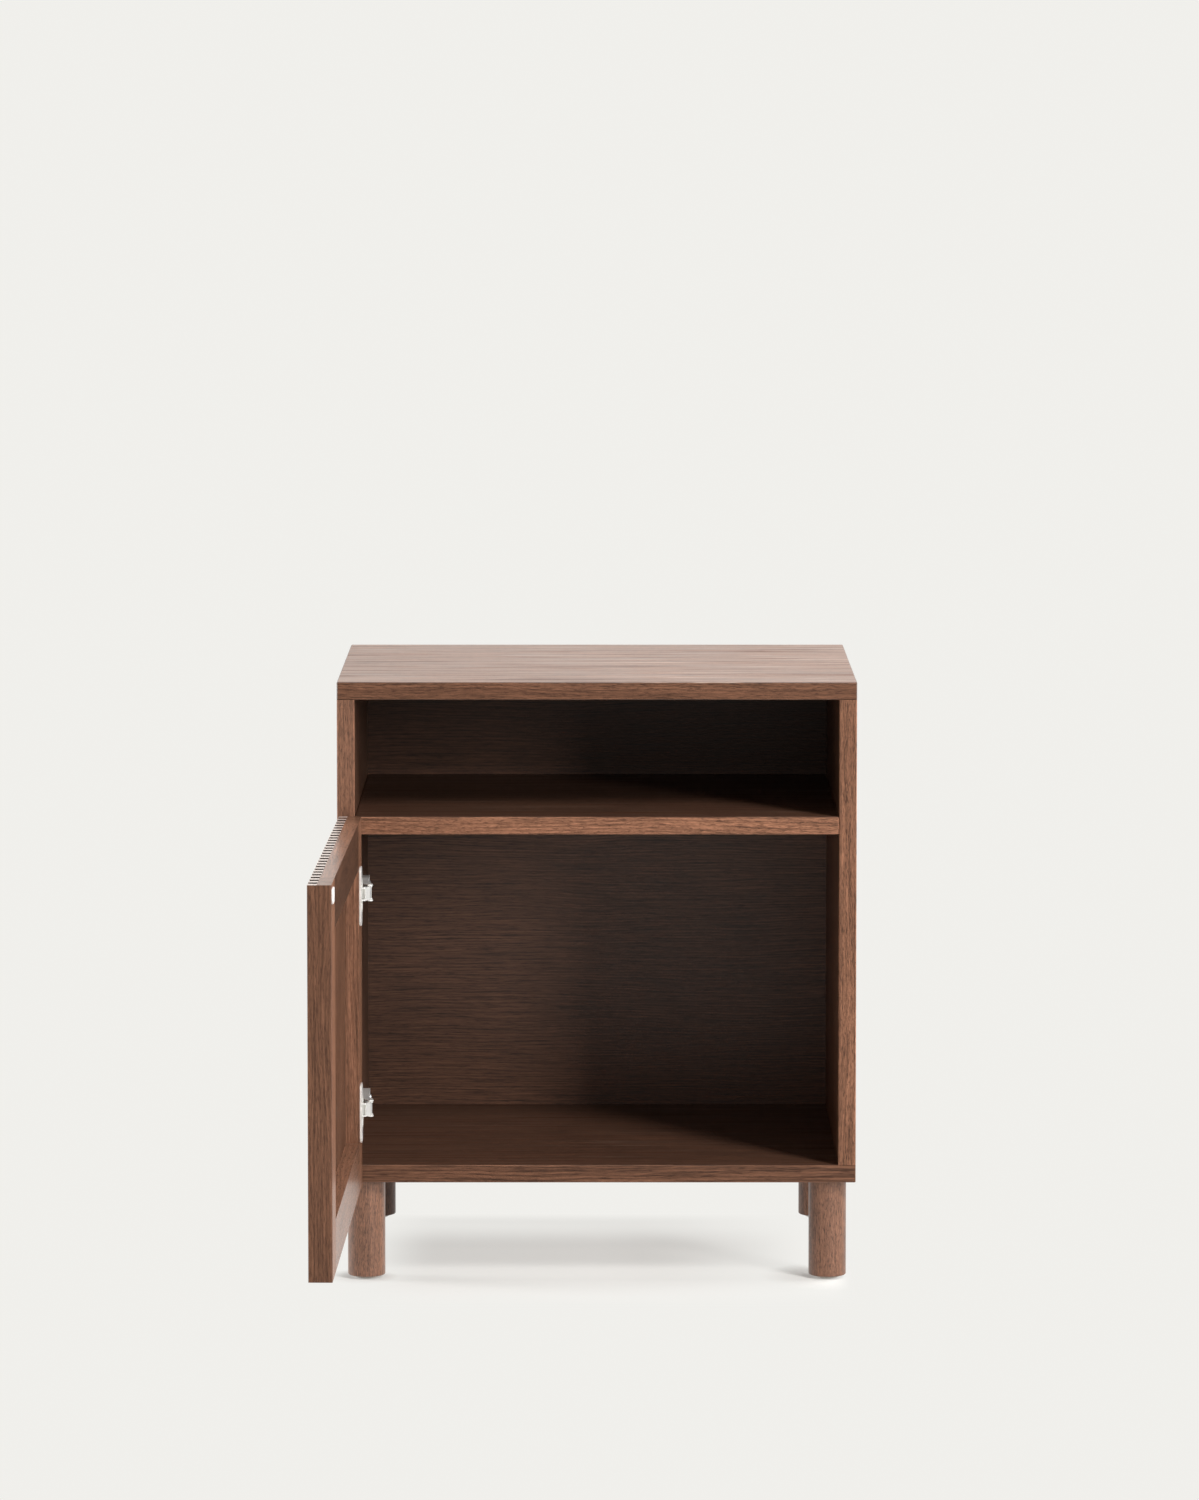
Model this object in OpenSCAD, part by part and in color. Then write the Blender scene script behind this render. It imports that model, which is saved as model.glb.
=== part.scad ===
// Nightstand with an open niche above a slatted door on two concealed hinges.
// The origin is on the floor under the middle of the cabinet. The front faces -Y and the
// door hangs on the -X side. It is drawn as photographed, with the door open.

/* [Cabinet] */
// Overall width
cab_w = 530; // [440:2:640]
// Depth of the boards, front to back
cab_d = 396; // [330:2:460]
// Overall height, floor to top
cab_h = 618; // [540:2:700]
// Thickness of the boards
board_t = 18; // [16:0.5:19]
// Clear height of the open niche
niche_h = 120; // [90:1:160]
// Small flat on the long edges of the boards
board_ease = 0.8; // [0.3:0.1:1.5]
// Gap between each end of the shelf and its side
shelf_gap = 0.4; // [0.2:0.1:1]
// Thickness of the back panel
back_t = 6; // [4:0.5:8]
// Distance from the rear edges to the back panel
back_inset = 14; // [8:0.5:20]
// Depth of the groove that holds the back panel
groove_depth = 7; // [4:0.5:8]
// Play round the back panel in its groove
groove_play = 0.1; // [0.05:0.05:0.4]

/* [Joinery] */
// Diameter of the wooden dowels
dowel_d = 8; // [6:0.5:9]
// Length of the wooden dowels
dowel_len = 30; // [24:1:36]
// Depth that a dowel reaches through a board's face
dowel_in_face = 11; // [8:0.5:13]
// Radial play of dowels, bolts, screws and pins in their holes
hole_play = 0.05; // [0.02:0.01:0.1]
// Spare depth at the bottom of blind holes
hole_spare = 0.5; // [0.3:0.1:1]
// Distance from the front edge to the first dowel
dowel_edge = 45; // [30:1:80]

/* [Legs] */
// Height of the wooden legs
leg_h = 100; // [80:1:140]
// Diameter of the legs
leg_d = 38.5; // [30:0.5:46]
// Distance from a leg's centre to the cabinet's outer faces
leg_inset = 28; // [24:0.5:50]
// Size of the rounding at a leg's lower edge
leg_round = 1.5; // [0.5:0.25:3]
// Diameter of the bolt that holds a leg
leg_bolt_d = 8; // [6:0.5:10]
// Length of the bolt inside the leg
bolt_in_leg = 34; // [20:1:50]
// Length of the bolt inside the bottom board
bolt_in_board = 14; // [9:0.5:14.5]
// Diameter of the glides
glide_d = 25; // [18:0.5:29]
// Height of the glides under the legs
glide_h = 3; // [2:0.25:6]
// Diameter of a glide's nail
glide_nail_d = 2.5; // [1.5:0.25:4]
// Length of a glide's nail
glide_nail_len = 16; // [10:1:22]

/* [Door] */
// Distance from the closed door's side edges to the cabinet's outer faces
door_margin = 2; // [2:0.25:4]
// Gap between the closed door and the cabinet's front
door_gap = 2.5; // [2.25:0.25:4]
// How far the door reaches over the shelf's upper face
door_over = 1; // [0:0.25:3]
// How far the door stops short of the bottom board's underside
door_short = 0; // [0:0.25:4]
// Thickness of the door's frame
frame_t = 14; // [13.5:0.25:18]
// Width of the door's upright frame members
stile_w = 54; // [48:1:70]
// Height of the door's top cross member
top_rail_w = 47.5; // [36:0.5:56]
// Height of the door's bottom cross member
bottom_rail_w = 50.5; // [36:0.5:56]
// Length of the tenons on the cross members
tenon_len = 26; // [16:1:34]
// Thickness of the tenons
tenon_t = 5; // [4:0.25:6]
// Step from a cross member's edge to its tenon
tenon_step = 7; // [4:0.5:10]
// Number of slats
slat_n = 27; // [20:1:28]
// Width of a slat
slat_w = 10.8; // [8:0.2:13]
// Thickness of a slat
slat_t = 9; // [6:0.5:10]
// Small flat on the outer edges of a slat
slat_ease = 0.6; // [0.2:0.1:1.5]
// Flat on the door's inner edge beside the hinges, which lets it pass the cabinet's edge
door_edge_flat = 1.5; // [1.5:0.1:2]
// Length of the strike pad along the door
pad_l = 30; // [16:1:40]
// Height of the strike pad
pad_h = 17; // [12:0.5:24]
// Thickness of the strike pad
pad_t = 1.8; // [1:0.1:2]
// Distance from the door's edges to the strike pad
pad_edge = 2.5; // [2:0.5:10]

/* [Hinges] */
// Distance from the door's ends to the middle of a hinge
hinge_end = 78; // [74:1:110]
// Angle of the open door as drawn
open_deg = 91; // [0:1:95]
// Diameter of the hinge cup
cup_d = 35; // [35:0.5:37]
// Depth of the cup in the door
cup_depth = 12.4; // [12:0.1:12.5]
// Wall of the cup
cup_wall = 1; // [0.8:0.1:1.2]
// Distance from the door's edge to the middle of the cup
cup_from_edge = 22.5; // [22:0.25:23.5]
// Thickness of the cup's flange
flange_t = 1.6; // [1.2:0.1:1.8]
// Length of the cup's flange along the door's edge
flange_len = 60; // [58:0.5:66]
// Width of the cup's flange
flange_w = 22; // [18:0.5:26]
// Radius of the flange's corners
flange_r = 6; // [4:0.25:8]
// Spacing of the cup's screws
cup_screw_pitch = 48; // [46:0.5:48.5]
// Offset of the cup's screws from the middle of the cup
cup_screw_offset = 6; // [5:0.25:9]
// Diameter of the cup's screws
cup_screw_d = 3.5; // [3:0.25:4]
// Length of the cup's screws
cup_screw_len = 12; // [9:0.5:13]
// Diameter of the pins that the links turn on
pin_d = 2.4; // [2:0.1:2.6]
// Thickness of the sheet metal of the arm and the outer links
sheet_t = 1.2; // [1:0.05:1.3]
// Gap between the layers of links and cheeks
link_gap = 0.4; // [0.3:0.05:0.5]
// Height of the arm's web above the side board
arm_rise = 11.5; // [10:0.25:12]
// Distance from the mounting plate's screws forward to the arm's front screw
arm_screw_front = 6; // [4:0.5:9]
// Distance from the mounting plate's screws back to the arm's rear screw
arm_screw_rear = 23; // [18:0.5:23.5]
// Reach of the arm behind the mounting plate's screws
arm_tail = 31; // [30:1:38]
// Diameter of the arm's two screws
arm_screw_d = 4; // [3:0.25:5]
// Thickness of the mounting plate's wings
plate_t = 2.5; // [2:0.25:3]
// Width of the mounting plate's wings
plate_wing_w = 14; // [11:0.5:18]
// Height of the mounting plate's block above the side board
plate_block_h = 5.5; // [4:0.25:7]
// Length of the mounting plate's block
plate_block_len = 44; // [43:1:46]
// Diameter of the mounting plate's screws
plate_screw_d = 5; // [4:0.25:6.5]
// Length of the mounting plate's screws in the side board
plate_screw_len = 12; // [9:0.5:13]
// Spacing of the mounting plate's screws
plate_screw_pitch = 32; // [32:1:36]
// Distance from the cabinet's front to the mounting plate's screws
plate_setback = 37; // [37:0.5:40]

/* [Hidden] */
$fn = 48;
eps = 0.01;
half_w = cab_w / 2;
half_d = cab_d / 2;
inner_w = cab_w - 2 * board_t;
inner_side = half_w - board_t;
floor_under = leg_h + glide_h;
floor_top = floor_under + board_t;
top_under = cab_h - board_t;
shelf_top = top_under - niche_h;
shelf_under = shelf_top - board_t;
back_front = half_d - back_inset - back_t;
door_w = cab_w - 2 * door_margin;
door_z0 = floor_under + door_short;
door_z1 = shelf_top + door_over;
door_h = door_z1 - door_z0;
door_inner_y = -half_d - door_gap;
frame_outer_y = door_inner_y - frame_t;
slat_pitch = (door_w - slat_w) / (slat_n - 1);
hinge_zs = [door_z0 + hinge_end, door_z1 - hinge_end];
pin_hole_d = pin_d + 2 * hole_play;

// Hinge points on the closed door: [along the door from its edge, into the door]
arm_pin = [31.5, 2.5];
rear_pin = [22, -20.5];
cup_pin = [13.45, 5.22];
hinge_corner = [-door_w / 2, door_inner_y];

// Turn of the links against the door while it opens by swing_deg
swing_deg = 91;
outer_swing = 31.55;
inner_swing = 13.65;

// Layers of the hinge across its height, each a half height
inner_link_half = 5.2;
outer_link_half = inner_link_half + link_gap + sheet_t;
arm_half = outer_link_half + link_gap + sheet_t;
cup_cheek_in = outer_link_half + 2 * link_gap;
cup_cheek_t = 2.6;
cup_cheek_past_pin = 4;
cup_pin_seat = 0.5;
cup_pin_half = cup_cheek_in + cup_cheek_t - cup_pin_seat;
pin_proud = 0.3;

function turned(v, a) = [v[0] * cos(a) - v[1] * sin(a), v[0] * sin(a) + v[1] * cos(a)];
function closed_point(p) = [hinge_corner[0] + p[0], hinge_corner[1] - p[1]];
function share(swing) = swing * open_deg / swing_deg;
arm_pin_at = closed_point(arm_pin);
rear_pin_at = closed_point(rear_pin);
cup_pin_closed = closed_point(cup_pin);
cup_pin_open = arm_pin_at + turned(cup_pin_closed - arm_pin_at, share(outer_swing));

// Bends of the links with the door open by swing_deg, from the pin on the arm
outer_bends = [[-1.3, -5.5], [-5.5, -10.9]];
outer_bar_r = 1.7;
outer_eye_r = 2.5;
inner_bends = [[5.6, -22], [5.8, -28], [3.4, -30.1], [-4.4, -30.5]];
inner_bar_r = 1.1;
inner_eye_r = 2.4;
// A bar is this much narrower than its round ends on each side
bar_ease = 0.03;

// Web of the outer link, and how far it stays inside the outline of its cheeks
link_web_t = 1;
link_web_in = 0.1;
link_web_shift = link_web_t * [-1, 0.5];

// Screw heads, and how far the arm's screws stop short of the side board
head_h = 1.5;
arm_head_d = 1.75 * arm_screw_d;
plate_head_d = 1.6 * plate_screw_d;
cup_head_d = 2 * cup_screw_d;
cup_head_tip = 0.8 * cup_screw_d;
cup_head_h = (cup_head_d - cup_head_tip) / 2;
cup_head_sunk = 0.1;
arm_screw_short = 2;

function slat_name(i) = str("door_slat_", i < 10 ? "0" : "", i);
LEGS = ["leg_front_left", "leg_front_right", "leg_rear_left", "leg_rear_right"];
LEG_SIGNS = [[-1, -1], [1, -1], [-1, 1], [1, 1]];
HINGES = ["lower", "upper"];

WALNUT = "#6b4a38";
NICKEL = "#c9c8c4";
STEEL = "#9a9ca0";

// A box with a small flat along every edge
module eased_box(size, e) {
    intersection() {
        linear_extrude(size[2]) eased_rect(size[0], size[1], e);
        translate([0, size[1], 0]) rotate([90, 0, 0]) linear_extrude(size[1]) eased_rect(size[0], size[2], e);
        rotate([90, 0, 90]) linear_extrude(size[0]) eased_rect(size[1], size[2], e);
    }
}

module eased_rect(w, h, e) {
    polygon([[e, 0], [w - e, 0], [w, e], [w, h - e], [w - e, h], [e, h], [0, h - e], [0, e]]);
}

// Dowel places along a side: front, middle and rear
dowel_rear = back_front - dowel_edge;
DOWEL_YS = [-half_d + dowel_edge, (dowel_rear - half_d + dowel_edge) / 2, dowel_rear];

// The dowel or its hole, pointing up, from below the joint face to above it
module dowel(below, above, grow, spare) {
    translate([0, 0, -below - spare])
        cylinder(d = dowel_d + 2 * grow, h = below + above + 2 * spare);
}

module board_dowels(grow, spare) {
    for (sx = [-1, 1]) {
        for (y = DOWEL_YS) {
            translate([sx * (inner_side + board_t / 2), y, top_under])
                dowel(dowel_len - dowel_in_face, dowel_in_face, grow, spare);
            translate([sx * (inner_side + board_t / 2), y, floor_top])
                dowel(dowel_in_face, dowel_len - dowel_in_face, grow, spare);
            translate([sx * inner_side, y, shelf_under + board_t / 2])
                rotate([0, sx * 90, 0]) dowel(dowel_len - dowel_in_face, dowel_in_face, grow, spare);
        }
    }
}

module back_slab(play) {
    w = inner_w + 2 * (groove_depth - (play > 0 ? 0 : hole_spare));
    h = top_under - floor_top + 2 * (groove_depth - (play > 0 ? 0 : hole_spare));
    translate([-w / 2, back_front - play, (top_under + floor_top - h) / 2])
        cube([w, back_t + 2 * play, h]);
}

module leg_bolt_set(grow, spare) {
    for (s = LEG_SIGNS)
        translate([s[0] * (half_w - leg_inset), s[1] * (half_d - leg_inset), floor_under - bolt_in_leg - spare])
            cylinder(d = leg_bolt_d + 2 * grow, h = bolt_in_leg + bolt_in_board + 2 * spare);
}

module cabinet_holes() {
    board_dowels(hole_play, hole_spare);
    back_slab(groove_play);
}

module top_board() {
    color(WALNUT) difference() {
        translate([-half_w, -half_d, top_under]) eased_box([cab_w, cab_d, board_t], board_ease);
        cabinet_holes();
    }
}

module bottom_board() {
    color(WALNUT) difference() {
        translate([-half_w, -half_d, floor_under]) eased_box([cab_w, cab_d, board_t], board_ease);
        cabinet_holes();
        leg_bolt_set(hole_play, hole_spare);
    }
}

module side_board() {
    translate([0, 0, floor_top]) linear_extrude(top_under - floor_top) eased_rect(board_t, cab_d, board_ease);
}

module side_left() {
    color(WALNUT) difference() {
        translate([-half_w, -half_d, 0]) side_board();
        cabinet_holes();
        plate_screw_set(hole_play, hole_spare);
    }
}

module side_right() {
    color(WALNUT) difference() {
        translate([inner_side, -half_d, 0]) side_board();
        cabinet_holes();
    }
}

module shelf() {
    w = inner_w - 2 * shelf_gap;
    color(WALNUT) difference() {
        translate([-w / 2, -half_d, shelf_under]) eased_box([w, back_front + half_d, board_t], board_ease);
        board_dowels(hole_play, hole_spare);
    }
}

module back_panel() {
    color(WALNUT) back_slab(0);
}

module carcass_dowels() {
    color("#c8a878") board_dowels(0, 0);
}

module leg(s) {
    r = leg_d / 2;
    color(WALNUT) difference() {
        translate([s[0] * (half_w - leg_inset), s[1] * (half_d - leg_inset), glide_h]) rotate_extrude() difference() {
            square([r, leg_h]);
            translate([r - leg_round, 0]) difference() {
                translate([0, -eps]) square([leg_round + eps, leg_round + eps]);
                translate([0, leg_round]) circle(r = leg_round);
            }
        }
        leg_bolt_set(hole_play, hole_spare);
        glide_set(hole_play, hole_spare);
    }
}

module leg_bolts() {
    color(STEEL) leg_bolt_set(0, 0);
}

// Each glide is a low dome with its nail
module glide_set(grow, spare) {
    edge = glide_h / 3;
    for (s = LEG_SIGNS)
        translate([s[0] * (half_w - leg_inset), s[1] * (half_d - leg_inset), 0]) {
            rotate_extrude() polygon([[0, 0], [glide_d / 2 - 2 * edge, 0], [glide_d / 2, edge],
                [glide_d / 2, glide_h], [0, glide_h]]);
            cylinder(d = glide_nail_d + 2 * grow, h = glide_h + glide_nail_len + spare);
        }
}

module glides() {
    color("#d8d3c8") glide_set(0, 0);
}

// Carries what is drawn on the closed door to its open pose
module door_open() {
    translate([cup_pin_open[0], cup_pin_open[1], 0]) rotate([0, 0, -open_deg])
        translate([-cup_pin_closed[0], -cup_pin_closed[1], 0]) children();
}

module stile_outline(w, flat) {
    polygon([[0, 0], [w, 0], [w, frame_t], [flat, frame_t], [0, frame_t - flat]]);
}

// Each cross member's lower edge and height
RAILS = [[door_z0, bottom_rail_w], [door_z1 - top_rail_w, top_rail_w]];

module rail_tenons(grow, spare) {
    w = door_w - 2 * stile_w + 2 * (tenon_len + spare);
    for (r = RAILS)
        translate([-w / 2, frame_outer_y + (frame_t - tenon_t) / 2 - grow, r[0] + tenon_step - grow])
            cube([w, tenon_t + 2 * grow, r[1] - 2 * tenon_step + 2 * grow]);
}

module hinge_stile() {
    color(WALNUT) door_open() difference() {
        translate([-door_w / 2, frame_outer_y, door_z0])
            linear_extrude(door_h) stile_outline(stile_w, door_edge_flat);
        rail_tenons(groove_play, hole_spare);
        for (z = hinge_zs) at_closed_edge(z) {
            cup_round(cup_d / 2 + hole_play, cup_depth + groove_play, 0);
            cup_screw_set(hole_play, hole_spare);
        }
    }
}

module free_stile() {
    color(WALNUT) door_open() difference() {
        translate([door_w / 2, frame_outer_y, door_z0]) mirror([1, 0, 0])
            linear_extrude(door_h) stile_outline(stile_w, board_ease);
        rail_tenons(groove_play, hole_spare);
    }
}

module rail(r) {
    w = door_w - 2 * stile_w;
    color(WALNUT) door_open() union() {
        translate([-w / 2, frame_outer_y, r[0]]) cube([w, frame_t, r[1]]);
        intersection() {
            rail_tenons(0, 0);
            translate([-door_w / 2, frame_outer_y, r[0]]) cube([door_w, frame_t, r[1]]);
        }
    }
}

module door_slat(i) {
    color(WALNUT) door_open()
        translate([-door_w / 2 + (i - 1) * slat_pitch, frame_outer_y - slat_t, door_z0]) linear_extrude(door_h)
            polygon([[slat_ease, 0], [slat_w - slat_ease, 0], [slat_w, slat_ease], [slat_w, slat_t],
                [0, slat_t], [0, slat_ease]]);
}

// White pad near the top of the free end, which meets the shelf's edge when the door closes
module strike_pad() {
    color("white") door_open()
        translate([door_w / 2 - pad_edge - pad_l, door_inner_y, door_z1 - pad_edge - pad_h])
            eased_box([pad_l, pad_t, pad_h], board_ease / 2);
}

// Hinge parts on the door are drawn from its closed edge: X along the door, -Y into it
module at_closed_edge(z) {
    translate([hinge_corner[0], hinge_corner[1], z]) children();
}

module cup_round(r, depth, proud) {
    translate([cup_from_edge, proud, 0]) rotate([90, 0, 0]) cylinder(r = r, h = depth + proud);
}

module across(p, half, d) {
    translate([p[0], -p[1], -half]) cylinder(d = d, h = 2 * half);
}

module cup_screw_places() {
    for (s = [-1, 1])
        translate([cup_from_edge + cup_screw_offset, 0, s * cup_screw_pitch / 2]) rotate([90, 0, 0]) children();
}

// The cup's screws with sunk heads, or their holes, which are open above the heads
module cup_screw_set(grow, spare) {
    cup_screw_places() translate([0, 0, cup_head_sunk - flange_t]) {
        translate([0, 0, cup_head_h / 2])
            cylinder(d = cup_screw_d + 2 * grow, h = cup_screw_len - cup_head_h / 2 + spare);
        cylinder(d1 = cup_head_d + 2 * grow, d2 = cup_head_tip + 2 * grow, h = cup_head_h);
        if (grow > 0) translate([0, 0, -cup_head_sunk - eps])
            cylinder(d = cup_head_d + 2 * grow, h = cup_head_sunk + 2 * eps);
    }
}

// The flange is a bar with round corners along the door's edge
module cup_flange() {
    mid = cup_from_edge + cup_screw_offset;
    translate([mid - flange_w / 2, 0, flange_r - flange_len / 2]) cube([flange_w, flange_t, flange_len - 2 * flange_r]);
    translate([mid - flange_w / 2 + flange_r, 0, -flange_len / 2]) cube([flange_w - 2 * flange_r, flange_t, flange_len]);
    for (sx = [-1, 1]) for (sz = [-1, 1])
        translate([mid + sx * (flange_w / 2 - flange_r), flange_t, sz * (flange_len / 2 - flange_r)])
            rotate([90, 0, 0]) cylinder(r = flange_r, h = flange_t);
}

// A low pan head that stands on Z = 0
module screw_head(d) {
    cylinder(d1 = d, d2 = d - head_h, h = head_h);
}

// Two cheeks inside the cup carry the pin stubs of the outer link
module cup_cheeks() {
    below_rim = 1;
    for (s = [-1, 1])
        translate([0, -cup_depth, s * (cup_cheek_in + cup_cheek_t / 2) - cup_cheek_t / 2])
            cube([cup_pin[0] + cup_cheek_past_pin, cup_depth - below_rim, cup_cheek_t]);
}

module hinge_cup(z) {
    r_in = cup_d / 2 - cup_wall;
    color(NICKEL) door_open() at_closed_edge(z) difference() {
        union() {
            difference() {
                union() {
                    cup_round(cup_d / 2, cup_depth, 0);
                    cup_round(cup_d / 2 + cup_wall, 0, flange_t);
                    cup_flange();
                }
                cup_round(r_in, cup_depth - cup_wall, flange_t + eps);
            }
            intersection() {
                cup_round(r_in + cup_wall / 2, cup_depth - cup_wall / 2, 0);
                cup_cheeks();
            }
        }
        across(cup_pin, cup_pin_half + hole_play, pin_hole_d);
        cup_screw_set(hole_play, hole_spare);
    }
}

module cup_pins() {
    color(STEEL) door_open() for (z = hinge_zs) at_closed_edge(z) difference() {
        across(cup_pin, cup_pin_half, pin_d);
        across(cup_pin, outer_link_half - sheet_t, pin_hole_d);
    }
}

module cup_screws() {
    color(STEEL) door_open() for (z = hinge_zs) at_closed_edge(z) cup_screw_set(0, 0);
}

// A flat bar with round ends from one point to the next, and so on
module bars(points, r) {
    side = r - bar_ease;
    for (p = points) translate(p) circle(r = r);
    for (i = [1 : len(points) - 1]) {
        d = points[i] - points[i - 1];
        translate(points[i - 1]) rotate(atan2(d[1], d[0])) translate([0, -side]) square([norm(d), 2 * side]);
    }
}

// Two cheeks outside the inner link, joined by a web along the outside of their bend
module outer_link(z) {
    cup_end = cup_pin_open - arm_pin_at;
    turn_back = share(outer_swing) - outer_swing;
    points = concat([[0, 0]], [for (p = outer_bends) turned(p, turn_back)], [cup_end]);
    last = points[2] - points[1];
    color(NICKEL) translate([arm_pin_at[0], arm_pin_at[1], z]) {
        for (s = [-1, 1]) translate([0, 0, s * (outer_link_half - sheet_t / 2) - sheet_t / 2])
            linear_extrude(sheet_t) difference() {
                union() {
                    bars(points, outer_bar_r);
                    circle(r = outer_eye_r);
                    translate(cup_end) circle(r = outer_eye_r);
                }
                circle(d = pin_hole_d);
                translate(cup_end) circle(d = pin_hole_d);
            }
        translate([0, 0, sheet_t - outer_link_half]) linear_extrude(2 * (outer_link_half - sheet_t)) difference() {
            bars([points[0], points[1], points[2]], outer_bar_r - link_web_in);
            translate(turned(link_web_shift, turn_back)) bars([points[0], points[1], points[2]], outer_bar_r);
            circle(r = outer_eye_r);
            translate(points[2]) rotate(atan2(last[1], last[0])) translate([0, -outer_bar_r]) square(2 * outer_bar_r);
        }
    }
}

module inner_link(z) {
    bends = [for (p = inner_bends) turned(p, share(inner_swing) - inner_swing)];
    color(NICKEL) translate([rear_pin_at[0], rear_pin_at[1], z - inner_link_half])
        linear_extrude(2 * inner_link_half) difference() {
            union() {
                bars(concat([[0, 0]], bends), inner_bar_r);
                circle(r = inner_eye_r);
            }
            circle(d = pin_hole_d);
        }
}

// The plate stands on the side board and the arm straddles its block
plate_mid = plate_setback + door_gap;
side_face = board_t - door_margin;
plate_block_front = 15;
arm_above_plate = 0.3;
arm_base = side_face + plate_t + arm_above_plate;
arm_web_at = side_face + arm_rise;
ARM_SCREW_YS = [plate_mid - arm_screw_front, plate_mid + arm_screw_rear];

// Side view of the arm's cheeks, from the closed door's edge into the cabinet
arm_shoulder_y = 15;
arm_throat = [25, 2];
arm_crown = [33.4, 6];
arm_web_y = 20;
arm_web_front = [32.2, 8];
arm_nose_r = 3.2;

module arm_outline() {
    polygon([[arm_base, plate_mid + arm_tail], [arm_base, arm_shoulder_y], arm_throat,
        [arm_pin[0] - arm_nose_r, -arm_pin[1]], [arm_pin[0] + arm_nose_r, -arm_pin[1]], arm_crown,
        [arm_web_at + sheet_t, arm_web_y], [arm_web_at + sheet_t, plate_mid + arm_tail]]);
    translate([arm_pin[0], -arm_pin[1]]) circle(r = arm_nose_r);
}

module hinge_arm(z) {
    color(NICKEL) at_closed_edge(z) difference() {
        union() {
            for (s = [-1, 1]) translate([0, 0, s * (arm_half - sheet_t / 2) - sheet_t / 2])
                linear_extrude(sheet_t) arm_outline();
            translate([arm_web_at, arm_web_y, -arm_half])
                cube([sheet_t, plate_mid + arm_tail - arm_web_y, 2 * arm_half]);
            intersection() {
                translate([0, 0, -arm_half]) linear_extrude(2 * arm_half) arm_outline();
                translate([0, 0, -arm_half]) linear_extrude(2 * arm_half)
                    bars([[arm_web_at + sheet_t / 2, arm_web_y], arm_web_front], sheet_t / 2);
            }
        }
        across(arm_pin, arm_half + pin_proud, pin_hole_d);
        across(rear_pin, arm_half + pin_proud, pin_hole_d);
        arm_screw_shanks(hole_play, 0);
    }
}

module arm_pins() {
    color(STEEL) for (z = hinge_zs) at_closed_edge(z) {
        across(arm_pin, arm_half + pin_proud, pin_d);
        across(rear_pin, arm_half + pin_proud, pin_d);
    }
}

module plate_screw_places(z) {
    for (s = [-1, 1])
        translate([hinge_corner[0] + side_face, plate_setback - half_d, z + s * plate_screw_pitch / 2])
            rotate([0, 90, 0]) children();
}

module plate_screw_set(grow, spare) {
    for (z = hinge_zs) plate_screw_places(z)
        translate([0, 0, -plate_screw_len - spare])
            cylinder(d = plate_screw_d + 2 * grow, h = plate_screw_len + plate_t + spare);
}

module mounting_plate(z) {
    block_half = arm_half - sheet_t - link_gap;
    color(NICKEL) difference() {
        union() {
            plate_screw_places(z) cylinder(d = plate_wing_w, h = plate_t);
            translate([hinge_corner[0] + side_face, plate_setback - half_d, z]) {
                translate([0, -plate_wing_w / 2, -plate_screw_pitch / 2])
                    cube([plate_t, plate_wing_w, plate_screw_pitch]);
                translate([0, -plate_block_front, -block_half])
                    cube([plate_block_h, plate_block_len, 2 * block_half]);
            }
        }
        plate_screw_set(hole_play, 0);
        at_closed_edge(z) arm_screw_shanks(hole_play, hole_spare);
    }
}

module plate_screws() {
    color(STEEL) {
        plate_screw_set(0, 0);
        for (z = hinge_zs) plate_screw_places(z) translate([0, 0, plate_t]) screw_head(plate_head_d);
    }
}

// Screws through the arm into the plate: the clamping one and the setting one
module arm_screw_shanks(grow, spare) {
    for (y = ARM_SCREW_YS)
        translate([side_face + arm_screw_short - spare, y, 0]) rotate([0, 90, 0])
            cylinder(d = arm_screw_d + 2 * grow, h = arm_rise + sheet_t - arm_screw_short + spare + eps);
}

module arm_screws() {
    color(STEEL) for (z = hinge_zs) at_closed_edge(z) {
        arm_screw_shanks(0, 0);
        for (y = ARM_SCREW_YS)
            translate([arm_web_at + sheet_t, y, 0]) rotate([0, 90, 0]) screw_head(arm_head_d);
    }
}

top_board();
bottom_board();
side_left();
side_right();
shelf();
back_panel();
carcass_dowels();
for (i = [0 : 3]) leg(LEG_SIGNS[i]);
leg_bolts();
glides();
hinge_stile();
free_stile();
rail(RAILS[0]);  // bottom_rail
rail(RAILS[1]);  // top_rail
strike_pad();
for (i = [1 : slat_n]) door_slat(i);
for (i = [0 : 1]) hinge_cup(hinge_zs[i]);
for (i = [0 : 1]) hinge_arm(hinge_zs[i]);
for (i = [0 : 1]) mounting_plate(hinge_zs[i]);
for (i = [0 : 1]) outer_link(hinge_zs[i]);
for (i = [0 : 1]) inner_link(hinge_zs[i]);
arm_pins();
cup_pins();
cup_screws();
plate_screws();
arm_screws();
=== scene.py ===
"""Looks and studio for a walnut-stained nightstand with a slatted door and an open niche.

Run as a script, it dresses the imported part, builds the stage and leaves the scene ready to render.
Lengths are in metres, and in millimetres inside the materials.
"""

import math

import bmesh
import bpy
from mathutils import Matrix, Vector


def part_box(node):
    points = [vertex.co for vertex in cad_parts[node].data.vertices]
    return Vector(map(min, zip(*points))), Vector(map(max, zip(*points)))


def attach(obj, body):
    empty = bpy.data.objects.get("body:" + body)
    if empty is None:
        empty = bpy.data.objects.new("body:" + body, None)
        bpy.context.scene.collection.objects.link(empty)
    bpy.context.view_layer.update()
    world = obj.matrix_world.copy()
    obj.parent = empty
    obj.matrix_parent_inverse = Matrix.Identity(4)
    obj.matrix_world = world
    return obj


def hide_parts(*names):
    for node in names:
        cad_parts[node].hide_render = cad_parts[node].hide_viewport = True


bl_info = {
    "name": "Nightstand with a slatted door",
    "version": (1, 0, 0),
    "blender": (4, 5, 0),
    "location": "View3D > Sidebar > Nightstand",
    "description": "Dresses the nightstand in stained veneer and nickel and sets up its studio",
    "category": "Add Mesh",
}

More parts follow.
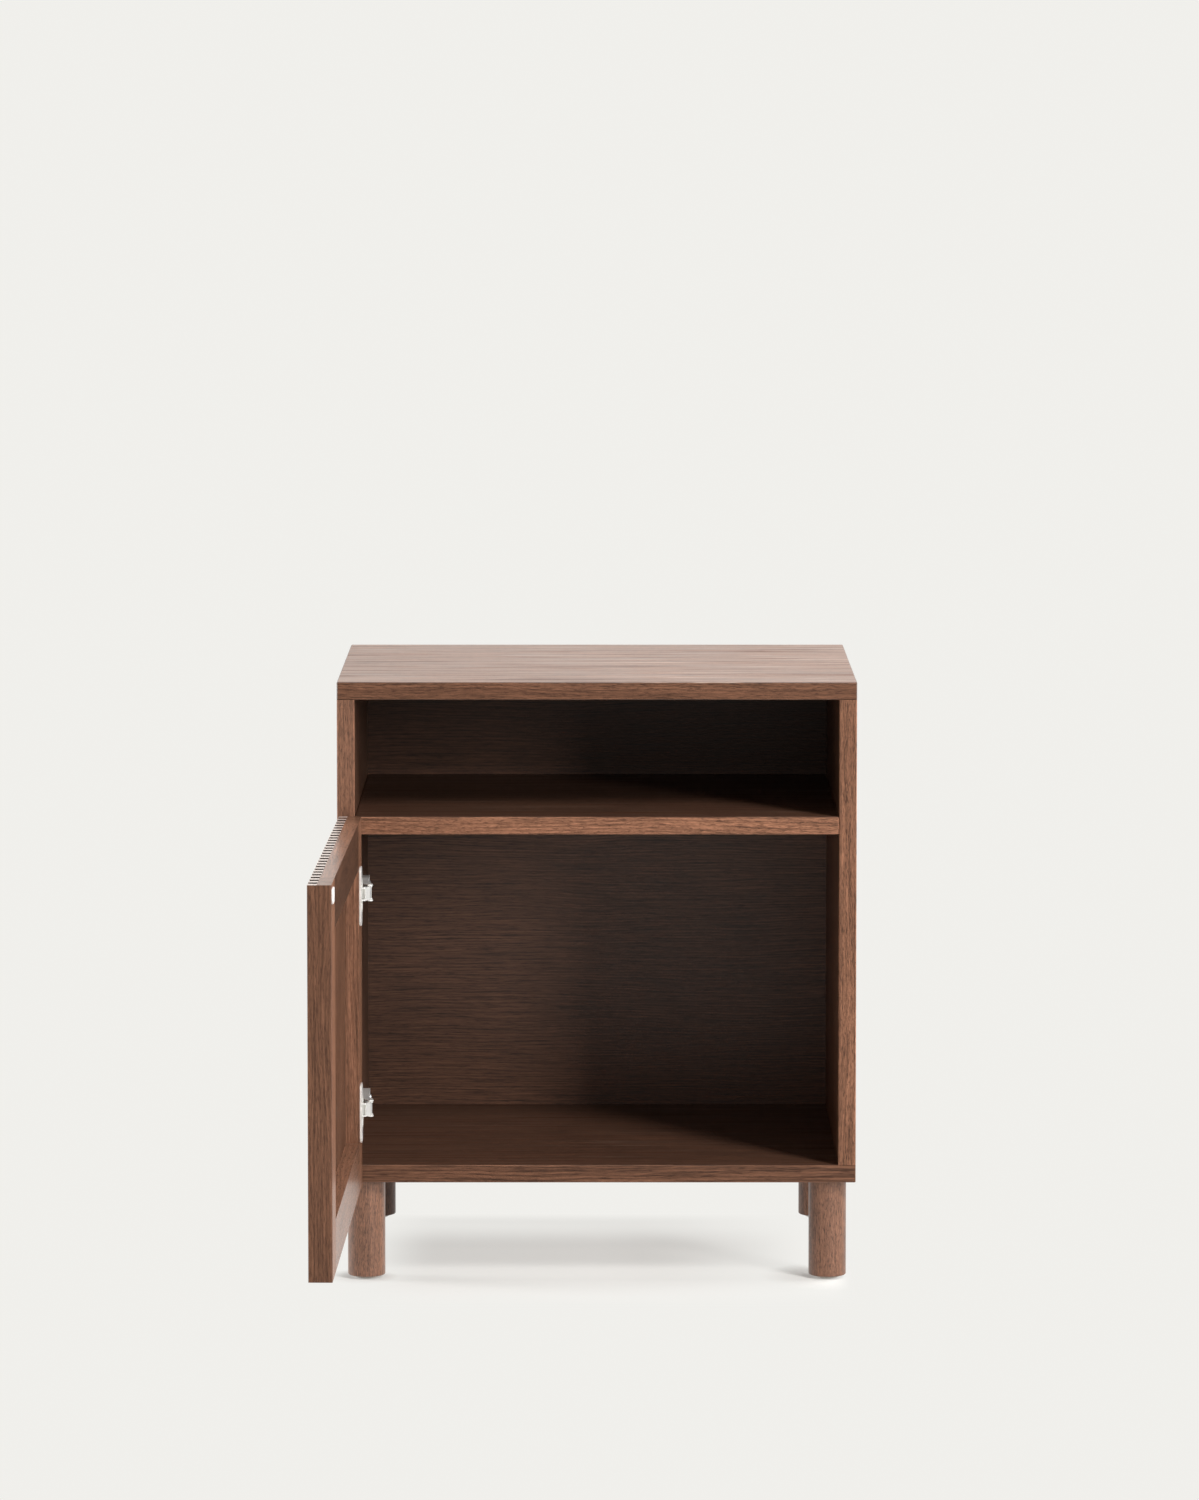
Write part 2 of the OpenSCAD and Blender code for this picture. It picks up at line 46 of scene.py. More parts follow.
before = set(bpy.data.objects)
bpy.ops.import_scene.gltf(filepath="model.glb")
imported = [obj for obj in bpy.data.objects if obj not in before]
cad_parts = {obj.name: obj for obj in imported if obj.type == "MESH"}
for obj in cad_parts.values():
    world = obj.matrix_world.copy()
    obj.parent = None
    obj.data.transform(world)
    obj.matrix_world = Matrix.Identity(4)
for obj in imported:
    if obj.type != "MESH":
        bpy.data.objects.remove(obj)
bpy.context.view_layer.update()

# Millimetres in a metre
MM = 1000.0
UP = Vector((0.0, 0.0, 1.0))

# Height of the shelf's upper side in millimetres
SHELF_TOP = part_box("shelf")[1].z * MM

HINGES = ("lower", "upper")
SLATS = [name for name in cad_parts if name.startswith("door_slat_")]
LEGS = [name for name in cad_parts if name.startswith("leg_") and name != "leg_bolts"]

# The sides that the open door's inner face and the left side board's look to
OPEN_ANGLE = math.radians(91.0)
DOOR_INWARD = Vector((math.sin(OPEN_ANGLE), math.cos(OPEN_ANGLE), 0.0))
INTO_CABINET = Vector((1.0, 0.0, 0.0))

# Tone of the legs, which holds painted light and shade for the light each stands in: the rear legs darkest
REAR_LEG_SHADE, LEFT_LEG_LIGHT, RIGHT_LEG_LIGHT = 0.40, 0.70, 0.56

# What the door's smoother lacquer adds to the cabinet's roughness
DOOR_SHEEN = -0.12

# Distance to the rings' heart in legs and slats, in millimetres
NARROW_HEART = 90.0

# Colours of painted reflections: a pale glare in the veins of upper sides, and on the slats' upper ends
VEIN_GLARE_COLOUR = (0.62, 0.46, 0.37)
END_GLARE_COLOUR = (0.74, 0.70, 0.66)

# Distance in the log from one seed to the next, along the grain, across it and into it, in millimetres
LOG_STEPS = (137.0, 41.0, 23.0)

# How squarely a surface faces an axis, as a cosine: to count as a side, roughly as one, and as no eased edge
SIDE, BROAD_SIDE, FLAT = 0.8, 0.7, 0.93

# Screws: sides of the round, reach of the cross and of the rim around it as shares of the head's radius,
# and the cross arm's half width as a share of its reach, which is about the tangent of 15 degrees
SCREW_SIDES = 24
CROSS_REACH, MOUTH_REACH = 0.56, 0.66
CROSS_HALF_WIDTH = 0.268

# How far from a plain screw's ends its head and its tip are measured
HEAD_DEPTH, TIP_DEPTH = 0.0035, 0.0005

# White pad: shares of the plain pad's width and height, both thicknesses, and the radii of corners and face
PAD_WIDE, PAD_TALL = 0.82, 0.86
PAD_THICK, PLAIN_PAD_THICK = 0.0014, 0.0018
PAD_CORNER, PAD_CROWN = 0.0042, 0.0006

# Camera that was fitted to the photograph: its place, how far it looks down in radians, and its focal
# length and vertical shift in pixels of an image of this height
CAMERA_PLACE = (0.00265, -6.8239, 1.3012)
CAMERA_PITCH = 0.08253
FOCAL_LENGTH = 6543.2
VERTICAL_SHIFT = -200.0
IMAGE_HEIGHT = 1500

# Middle of the cabinet, which the lamps point at, and the low lamp's direction and distance from it
MIDDLE = Vector((0.0, 0.0, 0.33))
KEY_SIDE = Vector((0.83, -1.0, 0.30)).normalized()
KEY_DISTANCE = 3.6


class StainSettings(bpy.types.PropertyGroup):
    """Colours and grain of the stained veneer."""

    ground: bpy.props.FloatVectorProperty(
        name="Ground", description="Colour of the stained wood between its pores",
        subtype="COLOR", size=3, default=(0.300, 0.139, 0.080))
    late: bpy.props.FloatVectorProperty(
        name="Late wood", description="Colour of the dense band of each growth ring",
        subtype="COLOR", size=3, default=(0.180, 0.078, 0.045))
    pore: bpy.props.FloatVectorProperty(
        name="Pores", description="Colour of the stain that settles in the pores",
        subtype="COLOR", size=3, default=(0.075, 0.032, 0.020))
    ring: bpy.props.FloatProperty(
        name="Ring width", description="Distance from one growth ring to the next",
        default=0.0030, min=0.0005, max=0.02, unit="LENGTH")
    roughness: bpy.props.FloatProperty(
        name="Roughness", description="Roughness of the matt lacquer", default=0.38, min=0.0, max=1.0)


class StudioSettings(bpy.types.PropertyGroup):
    """Backdrop and lamps."""

    backdrop: bpy.props.FloatVectorProperty(
        name="Backdrop", description="Colour of the floor and the background",
        subtype="COLOR", size=3, default=(0.874, 0.866, 0.835))
    key_power: bpy.props.FloatProperty(
        name="Key", description="Power of the low lamp at the right in front",
        default=54.0, min=0.0, unit="POWER")
    front_power: bpy.props.FloatProperty(
        name="Front", description="Power of the high lamp at the right in front",
        default=92.0, min=0.0, unit="POWER")
    side_power: bpy.props.FloatProperty(
        name="Sides", description="Power of the low lamp at the left, four times that at the right",
        default=90.0, min=0.0, unit="POWER")
    top_power: bpy.props.FloatProperty(
        name="Top", description="Power of the soft lamp above", default=62.0, min=0.0, unit="POWER")
    fill: bpy.props.FloatProperty(
        name="Fill", description="Strength of the light that comes from all around", default=0.05, min=0.0)
    shadow: bpy.props.FloatProperty(
        name="Shadow", description="How much of the paper's own shading shows near the cabinet",
        default=0.45, min=0.0, max=1.0, subtype="FACTOR")


class Value:
    """An output socket of a node tree. Arithmetic on it adds Math nodes."""

    def __init__(self, shader, socket):
        self.shader = shader
        self.socket = socket

    def _calc(self, operation, *terms):
        return self.shader.node("ShaderNodeMath", {"operation": operation}, dict(enumerate(terms)))

    def __add__(self, other):
        return self._calc("ADD", self, other)

    def __radd__(self, other):
        return self._calc("ADD", other, self)

    def __sub__(self, other):
        return self._calc("SUBTRACT", self, other)

    def __rsub__(self, other):
        return self._calc("SUBTRACT", other, self)

    def __mul__(self, other):
        return self._calc("MULTIPLY", self, other)

    def __rmul__(self, other):
        return self._calc("MULTIPLY", other, self)

    def __truediv__(self, other):
        return self._calc("DIVIDE", self, other)

    def __abs__(self):
        return self._calc("ABSOLUTE", self)

    def fract(self):
        return self._calc("FRACT", self)

    def root(self):
        return self._calc("SQRT", self)

    def at_least(self, other):
        return self._calc("MAXIMUM", self, other)

    def over(self, other):
        """1 where the value is over the other one, and 0 elsewhere."""
        return self._calc("GREATER_THAN", self, other)


class Shader:
    """A material, or the world, and the nodes that are added to it."""

    # First input, second input and output of a Mix node for each kind of data, as their names repeat
    MIX_SOCKETS = {"FLOAT": (2, 3, 0), "RGBA": (6, 7, 2)}

    def __init__(self, name, world=False):
        self.material = (bpy.data.worlds if world else bpy.data.materials).new(name)
        self.material.use_nodes = True
        self.tree = self.material.node_tree
        self.tree.nodes.clear()

    def node(self, kind, settings=None, sockets=None, out=0):
        """Adds a node, sets it up, joins its sockets and returns one of its outputs."""
        node = self.tree.nodes.new(kind)
        for key, value in (settings or {}).items():
            setattr(node, key, value)
        for key, value in (sockets or {}).items():
            if isinstance(value, Value):
                self.tree.links.new(value.socket, node.inputs[key])
            else:
                node.inputs[key].default_value = value
        return Value(self, node.outputs[out]) if len(node.outputs) else node

    def _coordinates(self, output):
        """The three values of one of the Texture Coordinate node's outputs."""
        where = self.node("ShaderNodeTexCoord", out=output)
        return [self.node("ShaderNodeSeparateXYZ", sockets={0: where}, out=axis) for axis in range(3)]

    def place(self):
        """Object coordinates in millimetres, as three values."""
        return [value * MM for value in self._coordinates("Object")]

    def facing(self):
        """The surface's direction in object space, as three values."""
        return self._coordinates("Normal")

    def noise(self, x, y, z, detail=2.0, rough=0.5):
        """Noise from 0 to 1 whose features are about one unit wide."""
        vector = self.node("ShaderNodeCombineXYZ", sockets={0: x, 1: y, 2: z})
        return self.node("ShaderNodeTexNoise", {"noise_dimensions": "3D"},
                         {"Vector": vector, "Scale": 1.0, "Detail": detail, "Roughness": rough})

    def ramp(self, value, low, high):
        """Goes smoothly from 0 at low to 1 at high."""
        return self.node("ShaderNodeMapRange", {"interpolation_type": "SMOOTHSTEP", "clamp": True},
                         {"Value": value, "From Min": low, "From Max": high, "To Min": 0.0, "To Max": 1.0})

    def blend(self, factor, first, second):
        """Goes from first to second, which are both colours or both values."""
        ends = (first, second)
        kind = "RGBA" if any(is_colour(end) for end in ends) else "FLOAT"
        if kind == "RGBA":
            ends = [end if isinstance(end, Value) else (*end, 1.0) for end in ends]
        first_in, second_in, out = self.MIX_SOCKETS[kind]
        sockets = {0: factor, first_in: ends[0], second_in: ends[1]}
        return self.node("ShaderNodeMix", {"data_type": kind}, sockets, out)

    def bump(self, height, strength, distance):
        """The surface's direction over a relief, whose distance is in metres."""
        sockets = {"Strength": strength, "Distance": distance, "Height": height}
        return self.node("ShaderNodeBump", sockets=sockets)

    def surface(self, sockets):
        """Ends the tree with one surface and returns the material."""
        shader = self.node("ShaderNodeBsdfPrincipled", sockets=sockets)
        self.node("ShaderNodeOutputMaterial", sockets={"Surface": shader})
        return self.material


def is_colour(value):
    if isinstance(value, Value):
        return value.socket.type == "RGBA"
    return isinstance(value, (tuple, list))


def rgb(colour):
    """A colour property's red, green and blue."""
    return tuple(colour)[:3]


def shade_of(colour, factor):
    """A colour made darker or lighter, but no lighter than white."""
    return tuple(min(channel * factor, 1.0) for channel in colour)


def looks_to(normal, side, least=SIDE):
    """1 where the surface looks to a side of the part, such as "-Y", and 0 elsewhere."""
    toward = normal["XYZ".index(side[1])]
    return (toward * -1.0 if side[0] == "-" else toward).over(least)


def stain_and_painted_shade(shader, place, normal, tone, coat, faces, arris, painted_shade_above):
    """The stain's depth with painted light and shade, and the lacquer's weight, over a board, as veneer
    describes them.
    """
    stain_and_shade, lustre = tone, coat
    # Side tones paint light and shade onto single sides, such as shaded inner sides and lit front edges
    for side, (side_tone, side_coat) in faces.items():
        there = looks_to(normal, side)
        stain_and_shade = shader.blend(there, stain_and_shade, side_tone)
        lustre = shader.blend(there, lustre, side_coat)
    # Eased edges take the arris tone, a thin painted highlight on most boards and painted shade on a few
    if arris:
        flat = abs(normal[0]).at_least(abs(normal[1])).at_least(abs(normal[2])).over(FLAT)
        stain_and_shade = shader.blend(flat, arris, stain_and_shade)
    # Painted shade: the front side above that height, in the niche under the top board, is darker and takes
    # less lacquer
    if painted_shade_above:
        high = shader.ramp(place[2], painted_shade_above - 4.0, painted_shade_above + 14.0) * looks_to(normal, "-Y", BROAD_SIDE)
        stain_and_shade = stain_and_shade * (1.0 - high * 0.35)
        lustre = lustre * (1.0 - high * 0.35)
    return stain_and_shade, lustre


def grain_axes(shader, place, normal, grain, banded, round_stock):
    """Places along the grain, across it in the plane of the face, and into the wood."""
    long_axis, wide_axis, deep_axis = {"X": (0, 1, 2), "Y": (1, 0, 2), "Z": (2, 0, 1)}[grain]
    along, across, deep = place[long_axis], place[wide_axis], place[deep_axis]
    if banded:
        end = abs(normal[long_axis]).over(BROAD_SIDE)
        along, across = shader.blend(end, along, across), shader.blend(end, across, along)
    if not round_stock:
        edge = abs(normal[wide_axis]).over(BROAD_SIDE)
        across, deep = shader.blend(edge, across, deep), shader.blend(edge, deep, across)
    return along, across, deep


def veneer(name, grain, seed, tone=1.0, coat=0.5, faces=None, arris=0.0, painted_shade_above=None,
           banded=True, round_stock=False, ring=0.55, heart=38.0, figure=1.0, bands=0.5, lines=1.0,
           short=1.0, relief=1.0, rough=0.0, vein_glare=0.0, end_glare=0.0):
    """Open-pored stained veneer under a thin lacquer.

    grain is the axis of the part that the grain runs along, and seed the board's place in the log.
    tone is the depth of the stain's colour with painted light and shade, where 0 is black, and coat the
    lacquer's weight.
    faces gives both again for single sides, such as {"-Y": (0.9, 0.2)}, painting light and shade on them,
    arris is the tone of the eased edges, a thin line of painted light and shade, and painted_shade_above the
    height in millimetres above which the front side has painted shade.
    banded boards have a strip across each end, and round stock keeps one pattern all around.
    ring is a growth ring's width as a share of the stain settings' one, and heart how deep the log's heart
    lies under the board, in millimetres.
    figure, bands and lines weigh the whole pattern, its broad streaks and its narrow ones.
    short makes the pores shorter, relief makes them deeper, and rough is added to the lacquer's roughness.
    vein_glare is the weight of a pale painted reflection in the veins on the upper side, and end_glare that
    of one on an upper end.
    """
    stain = bpy.context.scene.nightstand_stain
    shader = Shader(name)
    place, normal = shader.place(), shader.facing()
    stain_and_shade, lustre = stain_and_painted_shade(shader, place, normal, tone, coat, faces or {}, arris, painted_shade_above)
    axes = grain_axes(shader, place, normal, grain, banded, round_stock)
    along, across, deep = [axis + seed * step for axis, step in zip(axes, LOG_STEPS)]

    # Slow bends of the grain, then a fine wobble
    drift = (shader.noise(along * 0.0030, across * 0.010, deep * 0.010 + seed) - 0.5) * 22.0
    wobble = (shader.noise(along * 0.025, across * 0.09, deep * 0.09) - 0.5) * 1.4
    bent = across + drift + wobble

    def fibres(lengthwise, crosswise, detail, harsh, shift=0.0):
        """Noise drawn out along the bent grain, by how often it changes in a millimetre."""
        return shader.noise(along * lengthwise, bent * crosswise, deep * crosswise + shift, detail, harsh)

    # Growth rings are flat arcs about the heart, each early wood first and then late wood
    aside = bent + (seed * 61.0) % 300.0
    radius = (aside * aside * 0.16 + heart * heart).root()
    turn = (radius / (stain.ring * MM * ring)).fract()
    early = 1.0 - shader.ramp(turn, 0.05, 0.55)
    late = shader.ramp(turn, 0.55, 0.98)

    # Pores are short dashes along the grain, crowded in the early wood
    dash = fibres(0.11 * short, 0.95, 2.0, 0.65)
    pore = shader.ramp(dash + early * 0.05, 0.54, 0.68)

    # Four more scales of figure, from the finest to the broadest
    hair = fibres(0.14 * short, 2.0, 2.0, 0.6)
    fleck = fibres(0.045 * short, 0.80, 3.0, 0.65, 3.0)
    thread = fibres(0.012, 0.50, 2.0, 0.55, 7.0)
    streak = fibres(0.007, 0.07, 3.0, 0.6, 5.0)
    uneven = ((streak - 0.5) * (1.5 * bands) + (thread - 0.5) * (1.7 * lines)
              + (fleck - 0.5) * 1.5 + (hair - 0.5) * 1.3)
    shade = (uneven * figure + 1.06) * stain_and_shade

    ground = shader.blend(late * (0.5 * lines), rgb(stain.ground), rgb(stain.late))
    colour = shader.blend(pore * min(0.5 * figure, 0.85), ground, rgb(stain.pore))
    colour = shader.node("ShaderNodeVectorMath", {"operation": "SCALE"}, {0: colour, "Scale": shade})
    if vein_glare:
        # Painted reflection: veins on the upper side get a pale glare, and the wood between them darker
        # colour and less lacquer
        vein = fibres(0.0040, 0.12, 4.0, 0.75, 9.0)
        up = looks_to(normal, "+Z", BROAD_SIDE)
        glare_in_veins = shader.ramp(vein, 0.58, 0.68) * up
        dull = shader.ramp(1.0 - vein, 0.50, 0.64) * up
        colour = shader.blend(glare_in_veins * vein_glare, colour, VEIN_GLARE_COLOUR)
        colour = shader.blend(dull * 0.75, colour, rgb(stain.pore))
        lustre = lustre * (glare_in_veins * 0.3 + 1.08 - dull * 0.62
                           - (streak - 0.5) * 0.7 - (thread - 0.5) * 1.1)
    # Painted reflection: a pale glare on the upper ends
    if end_glare:
        colour = shader.blend(looks_to(normal, "+Z") * end_glare, colour, END_GLARE_COLOUR)

    height = (hair - 0.5) * 0.5 + (fleck - 0.5) * 1.2 - pore - early * 0.15
    return shader.surface({
        "Base Color": colour,
        "Roughness": pore * 0.10 + (hair - 0.5) * 0.2 + (stain.roughness + 0.12),
        "Specular IOR Level": 0.10,
        "Coat Weight": lustre,
        "Coat Roughness": stain.roughness + rough,
        "Normal": shader.bump(height, 0.30, 0.0002 * relief)})


def plated(name, colour, rough, metal=1.0):
    """Plated steel with faint handling marks."""
    shader = Shader(name)
    x, y, z = shader.place()
    cloud = shader.noise(x * 0.25, y * 0.25, z * 0.25, 3.0)
    rub = shader.noise(x * 0.9, y * 3.5, z * 0.9, 3.0)
    grain = shader.noise(x * 9.0, y * 9.0, z * 9.0)
    return shader.surface({
        "Base Color": shader.blend(cloud, shade_of(colour, 0.94), shade_of(colour, 1.03)),
        "Metallic": metal,
        "Roughness": rough + (rub - 0.5) * 0.14,
        "Normal": shader.bump(grain, 0.10, 0.00005)})


def moulded(name, colour, rough):
    """Plain moulded plastic, or unstained wood, with a fine skin."""
    shader = Shader(name)
    x, y, z = shader.place()
    skin = shader.noise(x * 3.0, y * 3.0, z * 3.0, 3.0)
    cloud = shader.noise(x * 0.2, y * 0.2, z * 0.2)
    return shader.surface({
        "Base Color": shader.blend(cloud, shade_of(colour, 0.96), shade_of(colour, 1.04)),
        "Roughness": rough + (skin - 0.5) * 0.1,
        "Normal": shader.bump(skin, 0.15, 0.0001)})


def dress(node, material):
    """Gives a CAD node its finish."""
    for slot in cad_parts[node].material_slots:
        slot.material = material


def new_piece(name, shape, crease):
    """Turns a finished bmesh into an object at the origin, smooth up to the crease angle in degrees."""
    shape.normal_update()
    for face in shape.faces:
        face.smooth = True
    for link in shape.edges:
        link.smooth = link.calc_face_angle(0.0) < math.radians(crease)
    mesh = bpy.data.meshes.new(name)
    shape.to_mesh(mesh)
    shape.free()
    piece = bpy.data.objects.new(name, mesh)
    bpy.context.scene.collection.objects.link(piece)
    return piece


def middle_of(points):
    return sum(points, Vector()) / len(points)


def solids_of(node):
    """The points of each separate solid of a CAD node, from the lowest solid up."""
    shape = bmesh.new()
    shape.from_mesh(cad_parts[node].data)
    bmesh.ops.remove_doubles(shape, verts=shape.verts, dist=1e-6)
    left = set(shape.verts)
    found = []
    # Starts are taken in the mesh's order, so that each run finds the same
    for start in shape.verts:
        if start not in left:
            continue
        left.remove(start)
        edge = [start]
        solid = []
        while edge:
            vert = edge.pop()
            solid.append(vert.co.copy())
            for link in vert.link_edges:
                other = link.other_vert(vert)
                if other in left:
                    left.remove(other)
                    edge.append(other)
        found.append(solid)
    shape.free()
    return sorted(found, key=lambda solid: (round(middle_of(solid).z, 4), round(middle_of(solid).y, 4)))


def radius_about(points, middle, axis):
    """The points' largest distance from the line through middle along the axis."""
    return max((point - middle - axis * (point - middle).dot(axis)).length for point in points)


def screw_size(solid, toward):
    """The middle of a plain screw's top, its head's and its shank's radius, and its length."""
    reach = [point.dot(toward) for point in solid]
    top, tip = max(reach), min(reach)
    rim = [point for point, far in zip(solid, reach) if far > top - HEAD_DEPTH]
    end = [point for point, far in zip(solid, reach) if far < tip + TIP_DEPTH]
    middle, foot = middle_of(rim), middle_of(end)
    seat = middle + toward * (top - middle.dot(toward))
    return seat, radius_about(rim, middle, toward), radius_about(end, foot, toward), top - tip


def screw_outline(head, shank, length, sunk):
    """Half of a screw's section, from its tip to the mouth of its recess, as radius and height."""
    if sunk:
        # Pointed shank and a cone under a thin rim
        sides = [(shank * 0.55, -length), (shank, shank - length), (shank, -head * 0.7),
                 (head, -head * 0.10), (head, 0.0)]
    else:
        # Blunt shank and a straight-sided head with a domed top
        sides = [(shank * 0.8, -length), (shank, shank * 0.3 - length), (shank, -head * 0.62),
                 (head, -head * 0.62), (head, -head * 0.30), (head * 0.93, -head * 0.12),
                 (head * 0.80, -head * 0.02)]
    return [(0.0, -length), *sides, (head * MOUTH_REACH, 0.0)]


def sink_cross(screw, head):
    """Closes the open top of a screw's bmesh with a cross recess."""
    mouth = [link for link in screw.edges if link.is_boundary]
    arm = head * CROSS_REACH
    half = arm * CROSS_HALF_WIDTH
    for vert in bmesh.ops.create_circle(screw, segments=SCREW_SIDES, radius=1.0)["verts"]:
        # The small number keeps points on an axis from a division by zero
        aside, ahead = abs(vert.co.x) + 1e-9, abs(vert.co.y) + 1e-9
        vert.co *= max(min(arm / aside, half / ahead), min(half / aside, arm / ahead))
    ring = [link for link in screw.edges if (link.is_boundary or link.is_wire) and link not in mouth]
    bmesh.ops.bridge_loops(screw, edges=mouth + ring)
    down = bmesh.ops.extrude_edge_only(screw, edges=ring)["geom"]
    for item in down:
        if isinstance(item, bmesh.types.BMVert):
            item.co = (item.co.x * 0.45, item.co.y * 0.45, item.co.z - head * 0.55)
    floor = [item for item in down if isinstance(item, bmesh.types.BMEdge) and item.is_boundary]
    bmesh.ops.edgeloop_fill(screw, edges=floor)


def one_screw(head, shank, length, sunk):
    """A screw with a cross recess, whose top is at the origin and whose shank points down."""
    screw = bmesh.new()
    outline = screw_outline(head, shank, length, sunk)
    verts = [screw.verts.new((across, 0.0, height)) for across, height in outline]
    edges = [screw.edges.new(pair) for pair in zip(verts, verts[1:])]
    bmesh.ops.spin(screw, geom=verts + edges, cent=(0.0, 0.0, 0.0), axis=UP,
                   angle=2.0 * math.pi, steps=SCREW_SIDES, use_merge=True)
    bmesh.ops.remove_doubles(screw, verts=screw.verts, dist=1e-7)
    sink_cross(screw, head)
    bmesh.ops.recalc_face_normals(screw, faces=screw.faces)
    return screw


def cross_screws(name, node, toward, sunk):
    """Screws with a cross recess in place of a node's plain ones, each turned as it was driven home."""
    whole = bmesh.new()
    upright = toward.to_track_quat("Z", "Y").to_matrix().to_4x4()
    for index, solid in enumerate(solids_of(node)):
        seat, head, shank, length = screw_size(solid, toward)
        screw = one_screw(head, shank, length, sunk)
        turn = Matrix.Rotation(0.7 + 1.9 * index, 4, "Z")
        bmesh.ops.transform(screw, matrix=Matrix.Translation(seat) @ upright @ turn, verts=screw.verts)
        loose = bpy.data.meshes.new("one_screw")
        screw.to_mesh(loose)
        screw.free()
        whole.from_mesh(loose)
        bpy.data.meshes.remove(loose)
    return new_piece(name, whole, 35.0)


def strike_pad(name):
    """White plastic pad with round corners and a slightly crowned face."""
    low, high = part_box("strike_pad")
    wide, tall = (high.y - low.y) * PAD_WIDE, (high.z - low.z) * PAD_TALL
    shape = bmesh.new()
    bmesh.ops.create_cube(shape, size=1.0)
    bmesh.ops.scale(shape, vec=(wide, tall, PAD_THICK), verts=shape.verts)
    uprights = [link for link in shape.edges if link.verts[0].co.z * link.verts[1].co.z < 0.0]
    bmesh.ops.bevel(shape, geom=uprights, offset=PAD_CORNER, segments=6, profile=0.5,
                    affect="EDGES", material=-1)
    front = [link for link in shape.edges if all(vert.co.z > 0.0 for vert in link.verts)]
    bmesh.ops.bevel(shape, geom=front, offset=PAD_CROWN, segments=3, profile=0.5,
                    affect="EDGES", material=-1)
    bmesh.ops.recalc_face_normals(shape, faces=shape.faces)
    lie = Matrix((UP.cross(DOOR_INWARD), UP, DOOR_INWARD)).transposed().to_4x4()
    # Its back lies where the plain pad's does, and its foot just above the plain pad's
    seat = Vector(((low.x + high.x) / 2, (low.y + high.y) / 2, low.z + tall / 2 + 0.0002))
    seat -= DOOR_INWARD * (PLAIN_PAD_THICK - PAD_THICK) / 2
    bmesh.ops.transform(shape, matrix=Matrix.Translation(seat) @ lie, verts=shape.verts)
    return new_piece(name, shape, 40.0)


class NIGHTSTAND_OT_boards(bpy.types.Operator):
    """Veneer the cabinet's boards, each with the grain along its length"""

    bl_idname = "nightstand.boards"
    bl_label = "Boards"

    def execute(self, context):
        # Board and side tones carry painted light and shade: inner sides, inner floors, the back and the
        # underside are painted darker, front and eased edges take their own painted light, and pale veins on
        # upper sides are painted reflection
        dress("top_board", veneer(
            "veneer_top", "X", 1.0, tone=0.64, coat=1.0, faces={"-Y": (0.46, 0.06), "-Z": (0.28, 0.5)},
            arris=0.3, ring=4.0, figure=1.2, lines=0.8, relief=1.5, vein_glare=0.5))
        dress("bottom_board", veneer(
            "veneer_bottom", "X", 2.3, tone=0.5, faces={"-Y": (0.38, 0.08), "+Z": (0.30, 0.5)},
            arris=0.45, figure=1.1, lines=1.3, short=0.6, vein_glare=0.10))
        dress("shelf", veneer(
            "veneer_shelf", "X", 3.1, tone=0.29, faces={"-Y": (0.72, 0.05)},
            arris=0.9, figure=1.3, bands=0.3, lines=0.9, short=1.5, vein_glare=0.10))
        dress("back_panel", veneer(
            "veneer_back", "X", 4.7, tone=0.6, faces={"-Y": (0.36, 0.5)},
            painted_shade_above=SHELF_TOP, ring=0.4, bands=0.3, lines=1.4, short=0.7))
        dress("side_left", veneer(
            "veneer_side_left", "Z", 5.9, tone=0.62, faces={"+X": (0.28, 0.4)},
            arris=1.0, figure=1.2, lines=0.8, short=1.3))
        dress("side_right", veneer(
            "veneer_side_right", "Z", 6.4, tone=0.59, faces={"-X": (0.5, 0.5), "-Y": (0.58, 0.1)},
            arris=0.9, figure=1.3, bands=0.4, lines=0.7, short=1.5))
        dress("carcass_dowels", moulded("beech_dowels", (0.52, 0.36, 0.20), 0.7))
        return {"FINISHED"}


class NIGHTSTAND_OT_legs(bpy.types.Operator):
    """Stain the round legs and finish their glides and bolts"""

    bl_idname = "nightstand.legs"
    bl_label = "Legs"

    def execute(self, context):
        for index, leg in enumerate(LEGS):
            # The tone, and the lacquer weight that follows it, paints each leg's light and shade
            tone = REAR_LEG_SHADE if "rear" in leg else LEFT_LEG_LIGHT if "left" in leg else RIGHT_LEG_LIGHT
            dress(leg, veneer(
                "stained_" + leg, "Z", 7.2 + 1.3 * index, tone=tone, coat=tone * 1.3,
                banded=False, round_stock=True, heart=NARROW_HEART,
                figure=1.4, bands=0.4, lines=0.4, short=1.7, rough=-0.04))
        dress("glides", moulded("glide_plastic", (0.66, 0.63, 0.58), 0.5))
        dress("leg_bolts", plated("bolt_steel", (0.52, 0.52, 0.54), 0.35))
        return {"FINISHED"}


